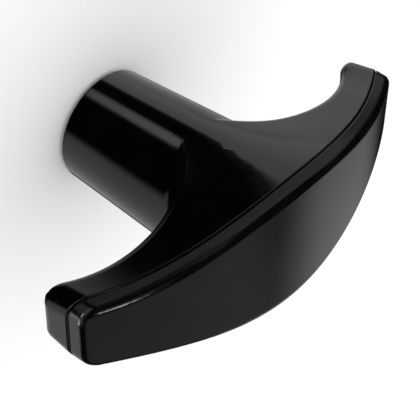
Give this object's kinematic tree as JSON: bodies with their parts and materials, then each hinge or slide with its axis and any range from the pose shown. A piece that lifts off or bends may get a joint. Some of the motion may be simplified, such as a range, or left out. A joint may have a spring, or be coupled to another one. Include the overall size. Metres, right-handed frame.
{
  "type": "winch handle",
  "caption": "Black T-shaped winch handle grip that turns on a steel spindle, with a round tapered hub and arms that curve back around the fingers.",
  "frame": {"origin": "centre of the spindle's mounting face, which is also the lowest point of the part", "axes": "+Z along the hub axis, from the crank arm towards the palm; +X along the crossbar; Y across it"},
  "size_m": [0.119, 0.0396, 0.0684],
  "materials": {
    "body_plastic": "glossy black moulded nylon with a very faint grain",
    "cap_plastic": "glossy black moulded nylon, a little softer in shine than the body",
    "insert_brass": "turned brass with a knurled outside",
    "screw_steel": "stainless steel, machined",
    "bush_plastic": "natural acetal, off-white and satin",
    "spindle_steel": "turned stainless steel, ground on the journal",
    "seal_rubber": "nitrile rubber, matt black",
    "washer_bronze": "bronze, flat and dull",
    "spring_steel": "spring steel, smooth",
    "washer_steel": "stainless steel, tumbled"
  },
  "bodies": {
    "spindle_group": {"spindle": "spindle_steel", "hub_seal": "seal_rubber", "thrust_washer": "washer_bronze", "disc_spring": "spring_steel", "retaining_washer": "washer_steel", "retaining_screw": "screw_steel"},
    "grip": {"grip_body": "body_plastic", "palm_cap": "cap_plastic", "cap_inserts": "insert_brass", "cap_screws": "screw_steel", "lower_bush": "bush_plastic", "upper_bush": "bush_plastic"}
  },
  "joints": [
    {"name": "grip_spin", "type": "hinge", "parent": "spindle_group", "child": "grip", "pos_m": [0, 0, 0.0265], "axis": [0, 0, 1], "continuous": true}
  ]
}
